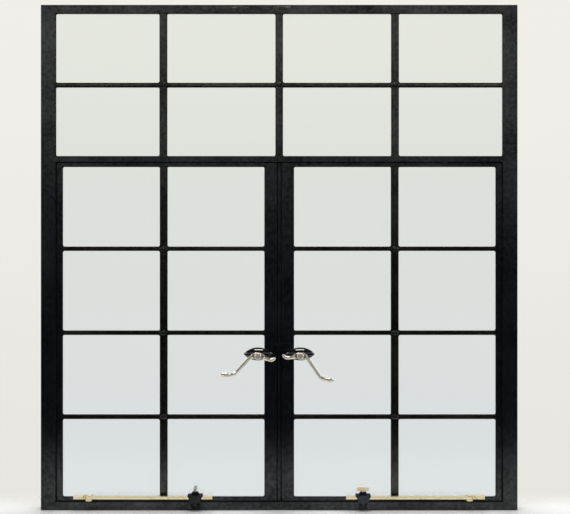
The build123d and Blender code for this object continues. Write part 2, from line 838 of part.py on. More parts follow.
def guide_foot_screws():
    """Two slotted round-headed screws through each guide's foot into the sill."""
    with BuildPart() as screws:
        for side in sides.values():
            with BuildSketch(Plane.XZ.offset(-flange_thickness)):
                with Locations((side * stay_guide_inset, foot_screw_height)):
                    with GridLocations(foot_screw_spread, 0, 2, 1):
                        Circle(foot_screw_radius)
            extrude(amount=flange_thickness + foot_back)
            with BuildSketch(Plane.XZ.offset(foot_back)):
                with Locations((side * stay_guide_inset, foot_screw_height)):
                    with GridLocations(foot_screw_spread, 0, 2, 1):
                        Circle(foot_screw_head)
            extrude(amount=foot_screw_head_height)
        fillet(screws.edges().group_by(Axis.Y)[0], foot_screw_round)
        for side in sides.values():
            with BuildSketch(Plane.XZ.offset(foot_back + foot_screw_head_height)):
                with Locations((side * stay_guide_inset, foot_screw_height)):
                    with GridLocations(foot_screw_spread, 0, 2, 1):
                        Rectangle(foot_screw_head * 2, foot_screw_slot)
            extrude(amount=-foot_screw_slot_depth, mode=Mode.SUBTRACT)
    return screws.part


def thumbscrew(side, turn):
    """A clamping screw with a flat spade head, its head turned about its axis."""
    x = side * stay_guide_inset
    tip = stay_top + stay_play
    head_bottom = guide_top + thumb_neck
    broad = Vector(math.cos(math.radians(turn)), math.sin(math.radians(turn)), 0)
    head_plane = Plane(
        origin=(x, stay_y, head_bottom + thumb_height / 2),
        x_dir=broad,
        z_dir=broad.cross(Vector(0, 0, 1)),
    )
    with BuildPart() as screw:
        with BuildSketch(Plane.XY.offset(tip)):
            with Locations((x, stay_y)):
                Circle(thumb_radius)
        extrude(amount=head_bottom + thumb_height / 2 - tip)
        with BuildSketch(head_plane):
            SlotOverall(thumb_width, thumb_height)
        extrude(amount=thumb_thickness / 2, both=True)
        fillet(screw.faces().filter_by(head_plane).edges(), thumb_edge)
    return screw.part


# Fixed frame
jambs = {name: jamb(side) for name, side in sides.items()}
for name, piece in jambs.items():
    save(piece, f"{name}_jamb")
head_section = [
    (0, head_edge),
    (0, frame_height),
    (frame_depth, frame_height),
    (frame_depth, head_web_face),
    (flange_thickness, head_web_face),
    (flange_thickness, head_edge),
]
head = level_bar(head_section, -jamb_web_face, jamb_web_face, jambs.values(), eased=lower_edge)
save(head, "head")
save(sill(jambs.values()), "sill")
transom_section = [
    (0, transom_bottom),
    (flange_thickness, transom_bottom),
    (flange_thickness, transom_web_bottom),
    (member_depth, transom_web_bottom),
    (member_depth, transom_web_top),
    (flange_thickness, transom_web_top),
    (flange_thickness, transom_top),
    (0, transom_top),
]
transom = level_bar(transom_section, -jamb_web_face, jamb_web_face, jambs.values())
save(transom, "transom")
mullion_section = [
    (-mullion_width / 2, flange_thickness),
    (mullion_width / 2, flange_thickness),
    (mullion_width / 2, member_depth),
    (-mullion_width / 2, member_depth),
]
save(upright_bar(mullion_section, web_thickness, transom_web_bottom), "mullion")

# Toplight bars, glass and putty
toplight_middles = {"left": -leaf_middle, "centre": 0, "right": leaf_middle}
toplight_bars = {}
for name, x in toplight_middles.items():
    section = tee(
        x, upright_bar_face, upright_bar_web, toplight_bar_recess, flange_thickness, upright_web_reach
    )
    bar = upright_bar(section, transom_web_top, head_web_face, (transom, head), glazing_round)
    toplight_bars[name] = slotted(bar, x, [toplight_cross_height], flange_thickness)
    save(toplight_bars[name], f"toplight_bar_{name}")
cross_section = turned(
    tee(
        toplight_cross_height,
        cross_bar_face,
        cross_bar_web,
        toplight_bar_recess,
        flange_thickness,
        cross_web_reach,
    )
)
toplight_cross = level_bar(
    cross_section,
    -jamb_web_face,
    jamb_web_face,
    [*jambs.values(), *toplight_bars.values()],
    glazing_round,
)
save(toplight_cross, "toplight_cross_bar")
half_bar = upright_bar_web / 2
half_face = upright_bar_face / 2
half_cross = cross_bar_web / 2
half_cross_face = cross_bar_face / 2
toplight_columns = [
    (-jamb_web_face, -leaf_middle - half_bar),
    (-leaf_middle + half_bar, -half_bar),
    (half_bar, leaf_middle - half_bar),
    (leaf_middle + half_bar, jamb_web_face),
]
toplight_sights_x = [
    (-jamb_edge, -leaf_middle - half_face),
    (-leaf_middle + half_face, -half_face),
    (half_face, leaf_middle - half_face),
    (leaf_middle + half_face, jamb_edge),
]
toplight_rows = [
    (transom_web_top, toplight_cross_height - half_cross),
    (toplight_cross_height + half_cross, head_web_face),
]
toplight_sights_z = [
    (transom_top, toplight_cross_height - half_cross_face),
    (toplight_cross_height + half_cross_face, head_edge),
]
save(panes(toplight_columns, toplight_rows, toplight_glass_y), "toplight_panes")
toplight_putty = putty(
    toplight_columns,
    toplight_rows,
    toplight_sights_x,
    toplight_sights_z,
    toplight_glass_y + glass_thickness,
)
save(toplight_putty, "toplight_putty")

# Hinge pins, striking plate and the screws of the guides' feet
save(hinge_pins(), "hinge_pins")
save(striking_plate(), "striking_plate")
save(guide_foot_screws(), "guide_foot_screws")

# Each leaf, with its hinges, handle and stay
row_webs = [leaf_bottom_web, *leaf_cross_heights, leaf_top_web]
leaf_rows_z = [
    (
        low + (half_cross if row else 0),
        high - (half_cross if row < leaf_rows - 1 else 0),
    )
    for row, (low, high) in enumerate(zip(row_webs, row_webs[1:]))
]
leaf_sights_z = list(
    zip(
        [leaf_bottom_sight, *(height + half_cross_face for height in leaf_cross_heights)],
        [*(height - half_cross_face for height in leaf_cross_heights), leaf_top_sight],
    )
)
for name, side in sides.items():
    stiles = {"hinge": hinge_stile(side), "meeting": meeting_stile(side)}
    for place, piece in stiles.items():
        save(piece, f"{name}_{place}_stile")
    rails = {"top": top_rail(side, stiles.values()), "bottom": bottom_rail(side, stiles.values())}
    for place, piece in rails.items():
        save(piece, f"{name}_{place}_rail")
    bar_front = leaf_face + leaf_bar_recess
    middle = side * leaf_middle
    section = tee(
        middle, upright_bar_face, upright_bar_web, bar_front, leaf_plate_back, leaf_upright_reach
    )
    bar = upright_bar(section, leaf_bottom_web, leaf_top_web, rails.values(), glazing_round)
    glazing_bar = slotted(bar, middle, leaf_cross_heights, leaf_plate_back)
    save(glazing_bar, f"{name}_glazing_bar")
    for place, height in zip(("lower", "middle", "upper"), leaf_cross_heights):
        section = turned(
            tee(height, cross_bar_face, cross_bar_web, bar_front, leaf_plate_back, cross_web_reach)
        )
        cross = level_bar(
            section,
            side * leaf_meeting_web,
            side * leaf_hinge_web,
            [*stiles.values(), glazing_bar],
            glazing_round,
        )
        save(cross, f"{name}_{place}_cross_bar")
    columns = [
        (leaf_meeting_web, leaf_middle - half_bar),
        (leaf_middle + half_bar, leaf_hinge_web),
    ]
    sights_x = [
        (leaf_meeting_sight, leaf_middle - half_face),
        (leaf_middle + half_face, leaf_hinge_sight),
    ]
    if side < 0:
        columns = [(-far, -near) for near, far in columns]
        sights_x = [(-far, -near) for near, far in sights_x]
    save(panes(columns, leaf_rows_z, leaf_glass_y), f"{name}_panes")
    leaf_putty = putty(columns, leaf_rows_z, sights_x, leaf_sights_z, leaf_glass_y + glass_thickness)
    save(leaf_putty, f"{name}_putty")
    save(hinge_frame_halves(side), f"{name}_hinge_frame_halves")
    save(hinge_straps(side), f"{name}_hinge_straps")
    save(handle_plate(side), f"{name}_handle_plate")
    save(plate_rivets(side), f"{name}_plate_rivets")
    save(handle_pivot(side), f"{name}_handle_pivot")
    save(handle(side, handle_turns[name]), f"{name}_handle")
    save(stay_bracket(side), f"{name}_stay_bracket")
    save(stay_rivet(side), f"{name}_stay_rivet")
    save(stay_bar(side), f"{name}_stay_bar")
    save(stay_guide(side), f"{name}_stay_guide")
    save(guide_foot(side), f"{name}_guide_foot")
    save(thumbscrew(side, thumb_turns[name]), f"{name}_thumbscrew")
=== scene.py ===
import math

import bpy
from mathutils import Matrix, Vector


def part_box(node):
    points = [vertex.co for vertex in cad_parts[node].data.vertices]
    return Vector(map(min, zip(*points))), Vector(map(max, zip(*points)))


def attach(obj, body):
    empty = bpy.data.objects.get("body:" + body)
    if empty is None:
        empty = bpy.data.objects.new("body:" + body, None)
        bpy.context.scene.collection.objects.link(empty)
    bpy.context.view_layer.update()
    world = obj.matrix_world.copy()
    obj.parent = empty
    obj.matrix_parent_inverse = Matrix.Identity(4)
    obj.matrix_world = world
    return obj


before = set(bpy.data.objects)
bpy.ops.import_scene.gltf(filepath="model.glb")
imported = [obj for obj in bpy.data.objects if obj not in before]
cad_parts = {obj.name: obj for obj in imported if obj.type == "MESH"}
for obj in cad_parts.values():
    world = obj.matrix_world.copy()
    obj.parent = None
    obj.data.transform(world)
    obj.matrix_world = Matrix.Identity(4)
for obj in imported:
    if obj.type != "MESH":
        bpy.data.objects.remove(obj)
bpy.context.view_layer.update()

bl_info = {
    "name": "Steel window dresser",
    "version": (1, 0, 0),
    "blender": (4, 5, 0),
    "location": "3D View > Sidebar > Window",
    "description": "Finishes a glazed steel window: paint, glass, putty, handles, stays and welds",
    "category": "Object",
}

SIDES = ["left", "right"]
FRAME_BARS = ["left_jamb", "right_jamb", "sill", "transom", "mullion", "striking_plate"]
FRAME_FITTINGS = [
    "left_hinge_frame_halves",
    "right_hinge_frame_halves",
    "hinge_pins",
    "left_guide_foot",
    "right_guide_foot",
    "guide_foot_screws",
]
TOPLIGHT_BARS = ["toplight_bar_left", "toplight_bar_centre", "toplight_bar_right"]
LEAF_BARS = ["hinge_stile", "meeting_stile", "top_rail", "bottom_rail", "hinge_straps"]
LEAF_GLAZING_BARS = ["glazing_bar", "lower_cross_bar", "middle_cross_bar", "upper_cross_bar"]

# Spans of a noise over which a mask rises from 0 to 1
TONE_SPAN = (0.4, 0.68)
SHEEN_SPAN = (0.3, 0.7)
FLECK_SPAN = (0.46, 0.62)
PUTTY_SPAN = (0.3, 0.7)
ENAMEL_SPAN = (0.35, 0.75)
TARNISH_SPAN = (0.45, 0.75)
FLOOR_SPAN = (0.3, 0.7)

# How squarely a face looks to the front or the rear before the paint on it is glossy
FACING_SPAN = (0.8, 0.98)
# The sheen's least value and its swing, as shares of the mean sheen
SHEEN_LEAST = 0.25
SHEEN_SWING = 1.5
# Shares of the broader noise in the relief of the paint, the putty and the metals
PEEL_MOTTLE = 0.8
PUTTY_MOTTLE = 0.3
SCRATCH_MARKS = 0.6
# Least and greatest roughness
PUTTY_ROUGHNESS = (0.45, 0.6)
ENAMEL_ROUGHNESS = (0.05, 0.11)

# Two strips of pale flecks on the head, in metres: their ends across it, their heights and their
# soft edges
HEAD_FLECK_STRIPS = [(-0.104, -0.050), (-0.014, 0.028)]
FLECK_STRIP_HEIGHTS = (1.0535, 1.0580)
FLECK_STRIP_FADE_ALONG = 0.01
FLECK_STRIP_FADE_UP = 0.001
FLECK_STRETCH = (0.15, 1.0, 2.2)

# The metals' roughness changes with their handling marks and their scratches
MARKS_ROUGHNESS = 0.14
SCRATCH_ROUGHNESS = 0.08
TARNISH_SHARE = 0.8
DRAWN_GRAIN = (0.04, 1, 1)
# Shares of a stay's height over which its brass goes from painted light to painted shade
STAY_SHADE_SHARES = (0.25, 0.6)

# Shares of a weld's own sizes
CORNER_BEVEL_SHARE = 0.985
MOUND_SUNK_SHARE = 0.6
LUMP_WIDTH_SHARE = 0.22
LUMP_RISE_SHARE = 0.4
LUMP_MIDDLE = 0.45

# The surroundings change over these spans of a direction's rise, and the last of its depth
PALE_SPAN = (-0.26, 0.26)
ROOM_SPAN = (0.04, 0.24)
CEILING_SPAN = (0.21, 0.33)
OUTSIDE_SPAN = (-0.25, 0.2)

# The floor, in metres, which lies a hair below the sill and fades away from the window
FLOOR_SIZE = 8
FLOOR_DROP = 0.0006
REAR_FADE = (0.01, 0.16)
FRONT_FADE = (0.2, 0.8)
SIDE_FADE = (0.5, 1.3)

# Soft lamps, with lengths in metres and power in watts
LAMPS = {
    "overhead_softbox": {
        "place": (0, -1.1, 3.1), "size": (1.5, 0.9), "power": 36,
        "target": (0.0, -0.2, 0.2), "tint": (1.0, 0.98, 0.95),
    },
    "right_softbox": {
        "place": (2.0, -0.8, 0.9), "size": (1.1, 1.3), "power": 13,
        "target": (0.0, 0.0, 0.35), "tint": (1.0, 0.99, 0.96),
    },
    "left_softbox": {
        "place": (-1.9, -0.9, 0.7), "size": (1.1, 1.3), "power": 7,
        "target": (0.0, 0.0, 0.35), "tint": (1.0, 0.99, 0.96),
    },
    "rear_softbox": {
        "place": (0, 1.0, 3.0), "size": (1.9, 1.2), "power": 24,
        "target": (0.0, -0.1, 0.0), "tint": (1.0, 0.99, 0.97),
    },
}


class Wire:
    """A socket in a shader tree. Sums, differences and products of wires add Math nodes."""

    def __init__(self, tree, socket=None):
        self.tree = tree
        self.socket = socket

    def node(self, kind, settings=None, sockets=None, output=0):
        """Adds a node, with its settings first and then its sockets' values or links."""
        made = self.tree.nodes.new(kind)
        for key, value in (settings or {}).items():
            setattr(made, key, value)
        for key, value in (sockets or {}).items():
            if isinstance(value, Wire):
                self.tree.links.new(value.socket, made.inputs[key])
            else:
                made.inputs[key].default_value = value
        return Wire(self.tree, made.outputs[output] if made.outputs else None)

    def math(self, operation, first, second=0.0):
        return self.node("ShaderNodeMath", {"operation": operation}, {0: first, 1: second})

    def __add__(self, other):
        return self.math("ADD", self, other)

    def __sub__(self, other):
        return self.math("SUBTRACT", self, other)

    def __rsub__(self, other):
        return self.math("SUBTRACT", other, self)

    def __mul__(self, other):
        return self.math("MULTIPLY", self, other)

    def __abs__(self):
        return self.math("ABSOLUTE", self)

    __radd__ = __add__
    __rmul__ = __mul__

    def most(self, other):
        return self.math("MAXIMUM", self, other)

    def step(self, low, high):
        """0 below low, 1 above high and a smooth rise between."""
        return self.node(
            "ShaderNodeMapRange",
            {"interpolation_type": "SMOOTHSTEP"},
            {"Value": self, "From Min": low, "From Max": high},
        )

    def between(self, low, high):
        """Low where this wire is 0 and high where it is 1."""
        return self * (high - low) + low

    def blend(self, first, second):
        """A colour between two, with this wire as the share of the second."""
        return self.node(
            "ShaderNodeMix", {"data_type": "RGBA"}, {0: self, 6: first, 7: second}, output=2
        )

    def noise(self, scale, detail=2.0, stretch=(1.0, 1.0, 1.0)):
        """Noise over the object's own metres, with this wire as the place."""
        place = self.node("ShaderNodeMapping", None, {"Vector": self, "Scale": stretch})
        return self.node(
            "ShaderNodeTexNoise", None, {"Vector": place, "Scale": scale, "Detail": detail}
        )

    def axis(self, index):
        return self.node("ShaderNodeSeparateXYZ", None, {"Vector": self}, output=index)


def new_material(name):
    """An empty material and a wire to add its nodes with."""
    material = bpy.data.materials.new(name)
    material.use_nodes = True
    material.node_tree.nodes.clear()
    return material, Wire(material.node_tree)


def places(wire):
    return wire.node("ShaderNodeTexCoord", output="Object")


def output(wire, shader):
    wire.node("ShaderNodeOutputMaterial", None, {"Surface": shader})


def principled(wire, **sockets):
    named = {key.replace("_", " "): value for key, value in sockets.items()}
    return wire.node("ShaderNodeBsdfPrincipled", None, named)


def colour(settings_colour):
    return (*settings_colour, 1.0)


def bumped(wire, height, strength, depth):
    return wire.node(
        "ShaderNodeBump", None, {"Height": height, "Strength": strength, "Distance": depth}
    )


def pale_flecked(place, paint, base):
    """The paint's colour with pale flecks in two strips near the head's top."""
    along = place.axis(0)
    up = place.axis(2)
    low, high = FLECK_STRIP_HEIGHTS
    across = up.step(low, low + FLECK_STRIP_FADE_UP) - up.step(high - FLECK_STRIP_FADE_UP, high)
    flecks = place.noise(paint.fleck_scale, detail=3.0, stretch=FLECK_STRETCH).step(*FLECK_SPAN)
    for start, end in HEAD_FLECK_STRIPS:
        begun = along.step(start, start + FLECK_STRIP_FADE_ALONG)
        ended = along.step(end - FLECK_STRIP_FADE_ALONG, end)
        in_strip = (begun - ended) * across * flecks
        base = in_strip.blend(base, colour(paint.fleck_strip))
    return base


def steel_paint(name, paint, deep, worn, with_fleck_strips=False, gloss=0.0, shine=1.0):
    """Satin black paint, uneven in its tone and sheen, and duller on the sides of the bars."""
    material, wire = new_material(name)
    place = places(wire)
    cloud = place.noise(paint.cloud_scale)
    mottle = place.noise(paint.mottle_scale, detail=4.0)
    peel = place.noise(paint.peel_scale, detail=3.0)
    tone = cloud * 0.5 + mottle * 0.5
    base = tone.step(*TONE_SPAN).blend(colour(deep), colour(worn))
    if with_fleck_strips:
        base = pale_flecked(place, paint, base)
    facing = abs(wire.node("ShaderNodeTexCoord", output="Normal").axis(1)).step(*FACING_SPAN)
    spread = paint.roughness_spread
    rough = mottle * spread + (paint.roughness - spread / 2) + (1 - facing) * paint.side_roughness
    sheen = shine * paint.sheen
    sheen = facing * (tone.step(*SHEEN_SPAN) * (SHEEN_SWING * sheen) + SHEEN_LEAST * sheen) + gloss
    shader = principled(
        wire,
        Base_Color=base,
        Roughness=rough,
        Specular_IOR_Level=0.08,
        Coat_Weight=sheen,
        Coat_Roughness=paint.roughness,
        Normal=bumped(wire, peel + mottle * PEEL_MOTTLE, paint.peel_strength, paint.peel_depth),
    )
    output(wire, shader)
    return material


def putty_paint(paint):
    """Black paint over knifed putty, duller than the steel and slightly ridged."""
    material, wire = new_material("painted_putty")
    place = places(wire)
    drag = place.noise(scale=90.0, detail=3.0)
    mottle = place.noise(paint.mottle_scale, detail=4.0)
    shader = principled(
        wire,
        Base_Color=mottle.step(*PUTTY_SPAN).blend(colour(paint.bar_deep), colour(paint.bar_worn)),
        Roughness=mottle.between(*PUTTY_ROUGHNESS),
        Normal=bumped(wire, drag + mottle * PUTTY_MOTTLE, strength=0.4, depth=0.0006),
    )
    output(wire, shader)
    return material


def clear_glass(glass):
    """Clear glass that lets the lamps through, with the faint waviness of an old pane."""
    material, wire = new_material("window_glass")
    wave = places(wire).noise(glass.wave_scale, detail=1.0)
    clear = principled(
        wire,
        Base_Color=colour(glass.tint),
        Roughness=0.0,
        IOR=1.5,
        Transmission_Weight=1.0,
        Normal=bumped(wire, wave, glass.wave_strength, depth=0.0005),
    )
    shadow = wire.node("ShaderNodeLightPath", output="Is Shadow Ray")
    through = wire.node("ShaderNodeBsdfTransparent", None, {"Color": colour(glass.tint)})
    output(wire, wire.node("ShaderNodeMixShader", None, {0: shadow, 1: clear, 2: through}))
    return material


def gloss_enamel(fitting):
    """Deep gloss black on the handles' plates."""
    material, wire = new_material("gloss_enamel")
    mottle = places(wire).noise(scale=220.0, detail=3.0)
    shader = principled(
        wire,
        Base_Color=mottle.step(*ENAMEL_SPAN).blend(
            colour(fitting.enamel), colour(fitting.enamel_worn)
        ),
        Roughness=mottle.between(*ENAMEL_ROUGHNESS),
        Specular_IOR_Level=0.0,
        Coat_Weight=1.0,
        Coat_IOR=1.8,
        Coat_Roughness=0.03,
        Normal=bumped(wire, mottle, strength=0.08, depth=0.0002),
    )
    output(wire, shader)
    return material


def bright_metal(name, pale, dull, roughness, bare=1.0, grain=(1, 1, 1), upper=None):
    """Yellow metal with handling marks, scratches along its grain and lacquer where it isn't bare.

    Where upper is given, it holds two heights and a colour of painted shade: above the rise
    between the heights the metal takes that painted shade, and below it keeps its lit colour.
    """
    material, wire = new_material(name)
    place = places(wire)
    marks = place.noise(scale=70.0, detail=3.0)
    scratch = place.noise(scale=900.0, detail=2.0, stretch=grain)
    base = (marks.step(*TARNISH_SPAN) * TARNISH_SHARE).blend(colour(pale), colour(dull))
    if upper:
        low, high, shaded = upper
        # Painted shade above the span, lit colour below it
        base = place.axis(2).step(low, high).blend(base, colour(shaded))
    mean = (MARKS_ROUGHNESS + SCRATCH_ROUGHNESS) / 2
    shader = principled(
        wire,
        Base_Color=base,
        Metallic=bare,
        Roughness=marks * MARKS_ROUGHNESS + scratch * SCRATCH_ROUGHNESS + (roughness - mean),
        Normal=bumped(wire, scratch + marks * SCRATCH_MARKS, strength=0.12, depth=0.0003),
    )
    output(wire, shader)
    return material


class PaintSettings(bpy.types.PropertyGroup):
    """The painted steel's colours and texture."""

    deep: bpy.props.FloatVectorProperty(
        name="Deep", description="Paint where it is thickest", subtype="COLOR",
        size=3, min=0, max=1, default=(0.0016, 0.0025, 0.0038),
    )
    worn: bpy.props.FloatVectorProperty(
        name="Worn", description="Paint where it is thin or dusty", subtype="COLOR",
        size=3, min=0, max=1, default=(0.0036, 0.0058, 0.0090),
    )
    bar_deep: bpy.props.FloatVectorProperty(
        name="Deep bars", description="Thick paint on the glazing bars", subtype="COLOR",
        size=3, min=0, max=1, default=(0.0024, 0.0030, 0.0016),
    )
    bar_worn: bpy.props.FloatVectorProperty(
        name="Worn bars", description="Thin paint on the glazing bars", subtype="COLOR",
        size=3, min=0, max=1, default=(0.0095, 0.0098, 0.0034),
    )
    # Colour of the pale flecks in the strips near the head's top
    fleck_strip: bpy.props.FloatVectorProperty(
        name="Scuff", description="Bare metal and primer in a scuff", subtype="COLOR",
        size=3, min=0, max=1, default=(0.20, 0.18, 0.13),
    )
    roughness: bpy.props.FloatProperty(
        name="Roughness", description="The satin paint's mean roughness",
        min=0, max=1, default=0.22,
    )
    sheen: bpy.props.FloatProperty(
        name="Sheen", description="Mean share of the paint that has a gloss coat",
        min=0, max=1, default=0.92,
    )
    side_roughness: bpy.props.FloatProperty(
        name="Side roughness", description="How much rougher the bars' sides and edges are",
        min=0, max=1, default=0.4,
    )
    roughness_spread: bpy.props.FloatProperty(
        name="Spread", description="How far the roughness varies", min=0, max=1, default=0.14
    )
    cloud_scale: bpy.props.FloatProperty(
        name="Clouds", description="Broad changes of tone, per metre", min=0, default=8.5
    )
    mottle_scale: bpy.props.FloatProperty(
        name="Mottle", description="Small changes of tone, per metre", min=0, default=120.0
    )
    peel_scale: bpy.props.FloatProperty(
        name="Peel", description="The paint's fine texture, per metre", min=0, default=520.0
    )
    peel_depth: bpy.props.FloatProperty(
        name="Peel depth", description="Height of the paint's fine texture", unit="LENGTH",
        min=0, default=0.0004,
    )
    peel_strength: bpy.props.FloatProperty(
        name="Peel strength", description="How much of the fine texture shows",
        min=0, max=1, default=0.06,
    )
    # Size of the pale flecks near the head's top, per metre
    fleck_scale: bpy.props.FloatProperty(
        name="Scuffs", description="Size of the flecks in a scuff, per metre", min=0, default=260.0
    )


class GlassSettings(bpy.types.PropertyGroup):
    """The panes' tint and waviness."""

    tint: bpy.props.FloatVectorProperty(
        name="Tint", description="Light that passes a pane", subtype="COLOR",
        size=3, min=0, max=1, default=(0.873, 0.904, 0.938),
    )
    wave_scale: bpy.props.FloatProperty(
        name="Waves", description="Waves in the glass, per metre", min=0, default=6.0
    )
    wave_strength: bpy.props.FloatProperty(
        name="Wave strength", description="How strong the waves are", min=0, max=1, default=0.05
    )


class FittingSettings(bpy.types.PropertyGroup):
    """The colours of the handles, their plates, the stays and the thumbscrews."""

    bronze: bpy.props.FloatVectorProperty(
        name="Bronze", description="Polished bronze of the handles", subtype="COLOR",
        size=3, min=0, max=1, default=(0.98, 0.92, 0.79),
    )
    bronze_dull: bpy.props.FloatVectorProperty(
        name="Dull bronze", description="Bronze where it is tarnished", subtype="COLOR",
        size=3, min=0, max=1, default=(0.78, 0.70, 0.55),
    )
    brass: bpy.props.FloatVectorProperty(
        name="Brass", description="Polished brass of the stays' brackets", subtype="COLOR",
        size=3, min=0, max=1, default=(0.90, 0.80, 0.545),
    )
    brass_dull: bpy.props.FloatVectorProperty(
        name="Dull brass", description="Brass where it is tarnished", subtype="COLOR",
        size=3, min=0, max=1, default=(0.68, 0.58, 0.36),
    )
    # Painted light: brass painted brighter low on the stays
    lit_brass_low: bpy.props.FloatVectorProperty(
        name="Low brass", description="Brighter brass low on the stays", subtype="COLOR",
        size=3, min=0, max=1, default=(0.99, 0.91, 0.62),
    )
    # Painted shade high on the stays; on the handled thumbscrew the same colour is its tarnish
    shaded_and_tarnished_brass: bpy.props.FloatVectorProperty(
        name="Upper brass", description="Duller brass high on the stays", subtype="COLOR",
        size=3, min=0, max=1, default=(0.78, 0.68, 0.46),
    )
    brass_grey: bpy.props.FloatVectorProperty(
        name="Grey brass", description="Brass of the more tarnished thumbscrew", subtype="COLOR",
        size=3, min=0, max=1, default=(0.33, 0.32, 0.27),
    )
    copper: bpy.props.FloatVectorProperty(
        name="Copper", description="Warm worn bronze of the handles' pivots", subtype="COLOR",
        size=3, min=0, max=1, default=(0.88, 0.76, 0.65),
    )
    enamel: bpy.props.FloatVectorProperty(
        name="Enamel", description="Gloss black of the handles' plates", subtype="COLOR",
        size=3, min=0, max=1, default=(0.003, 0.003, 0.004),
    )
    enamel_worn: bpy.props.FloatVectorProperty(
        name="Worn enamel", description="Gloss black where it is rubbed", subtype="COLOR",
        size=3, min=0, max=1, default=(0.008, 0.008, 0.009),
    )


class WeldSettings(bpy.types.PropertyGroup):
    """Sizes of the welds that the bars are joined with."""

    corner: bpy.props.FloatProperty(
        name="Corner", description="Leg of the fillet in a pane's corner", unit="LENGTH",
        min=0.0005, default=0.0032,
    )
    corner_depth: bpy.props.FloatProperty(
        name="Corner depth", description="Depth of the fillet in a pane's corner", unit="LENGTH",
        min=0.0005, default=0.004,
    )
    corner_sink: bpy.props.FloatProperty(
        name="Corner sink", description="How far the fillet lies behind the bars' faces",
        unit="LENGTH", min=0, default=0.0010,
    )
    mound_width: bpy.props.FloatProperty(
        name="Mound width", description="Width of the mound on a crossing", unit="LENGTH",
        min=0.001, default=0.0160,
    )
    mound_height: bpy.props.FloatProperty(
        name="Mound height", description="Height of the mound on a crossing", unit="LENGTH",
        min=0.001, default=0.0105,
    )
    mound_rise: bpy.props.FloatProperty(
        name="Mound rise", description="How far the mound stands out of the bars", unit="LENGTH",
        min=0.0001, default=0.0018,
    )


class StageSettings(bpy.types.PropertyGroup):
    """The camera's place and the colours of the floor and the surroundings."""

    distance: bpy.props.FloatProperty(
        name="Distance", description="From the camera to the frame's face", unit="LENGTH",
        min=0.5, default=2.1,
    )
    view_width: bpy.props.FloatProperty(
        name="View width", description="Width that the camera sees at the frame's face",
        unit="LENGTH", min=0.1, default=1.1959,
    )
    camera_x: bpy.props.FloatProperty(
        name="Camera X", description="The camera's place across the window", unit="LENGTH",
        default=0.0122,
    )
    camera_z: bpy.props.FloatProperty(
        name="Camera Z", description="The camera's height", unit="LENGTH", default=0.531
    )
    background: bpy.props.FloatVectorProperty(
        name="Background", description="The pale surroundings", subtype="COLOR",
        size=3, min=0, max=1, default=(0.87, 0.86, 0.81),
    )
    background_low: bpy.props.FloatVectorProperty(
        name="Low background", description="The pale surroundings near the floor",
        subtype="COLOR", size=3, min=0, max=1, default=(0.80, 0.79, 0.74),
    )
    beyond: bpy.props.FloatVectorProperty(
        name="Beyond", description="The pale surroundings seen through the panes",
        subtype="COLOR", size=3, min=0, max=1, default=(0.875, 0.865, 0.760),
    )
    beyond_low: bpy.props.FloatVectorProperty(
        name="Low beyond", description="The surroundings through the panes near the floor",
        subtype="COLOR", size=3, min=0, max=1, default=(0.835, 0.845, 0.825),
    )
    room_low: bpy.props.FloatVectorProperty(
        name="Low room", description="What the paint mirrors from the lower room",
        subtype="COLOR", size=3, min=0, max=1, default=(0.010, 0.013, 0.018),
    )
    room_high: bpy.props.FloatVectorProperty(
        name="High room", description="What the paint mirrors from the upper room",
        subtype="COLOR", size=3, min=0, max=4, default=(1.30, 1.30, 1.25),
    )
    ceiling: bpy.props.FloatVectorProperty(
        name="Ceiling", description="What the paint mirrors from above the room",
        subtype="COLOR", size=3, min=0, max=1, default=(0.05, 0.05, 0.05),
    )
    floor: bpy.props.FloatVectorProperty(
        name="Floor", description="The floor's colour", subtype="COLOR",
        size=3, min=0, max=1, default=(0.85, 0.86, 0.875),
    )
    floor_pale: bpy.props.FloatVectorProperty(
        name="Pale floor", description="The floor's paler patches", subtype="COLOR",
        size=3, min=0, max=1, default=(0.88, 0.89, 0.905),
    )


def settings():
    return bpy.context.scene.window_dresser


def finish_nodes(nodes, material):
    """Gives each of the frame's nodes a finished material in place of its plain one."""
    for name in nodes:
        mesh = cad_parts[name].data
        mesh.materials.clear()
        mesh.materials.append(material)


def sided(nodes):
    return [f"{side}_{node}" for side in SIDES for node in nodes]


def deselect():
    if bpy.context.mode != "OBJECT":
        bpy.ops.object.mode_set(mode="OBJECT")
    bpy.ops.object.select_all(action="DESELECT")


def start_piece():
    """The object that the last operator added, in edit mode."""
    piece = bpy.context.object
    bpy.ops.object.mode_set(mode="EDIT")
    return piece


def end_piece(piece):
    bpy.ops.object.mode_set(mode="OBJECT")
    return piece


def copies(model, matrices, name):
    """One object made of copies of a model, each with its own mesh, placed by a matrix."""
    deselect()
    made = []
    for matrix in matrices:
        copy = model.copy()
        copy.data = model.data.copy()
        bpy.context.scene.collection.objects.link(copy)
        copy.data.transform(matrix)
        copy.select_set(True)
        made.append(copy)
    bpy.context.view_layer.objects.active = made[0]
    if len(made) > 1:
        bpy.ops.object.join()
    piece = bpy.context.object
    piece.name = name
    deselect()
    bpy.data.objects.remove(model)
    return piece


def ride(piece, body, material):
    piece.data.materials.clear()
    piece.data.materials.append(material)
    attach(piece, body)


def toplight_gaps():
    """The gaps between the toplight's bars, across and up, and the depth of their faces."""
    edges = [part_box("left_jamb")[1].x]
    for bar in TOPLIGHT_BARS:
        low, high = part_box(bar)
        edges += [low.x, high.x]
    edges.append(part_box("right_jamb")[0].x)
    cross_low, cross_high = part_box("toplight_cross_bar")
    heights = [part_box("transom")[1].z, cross_low.z, cross_high.z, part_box("head")[0].z]
    return edges, heights, cross_low.y


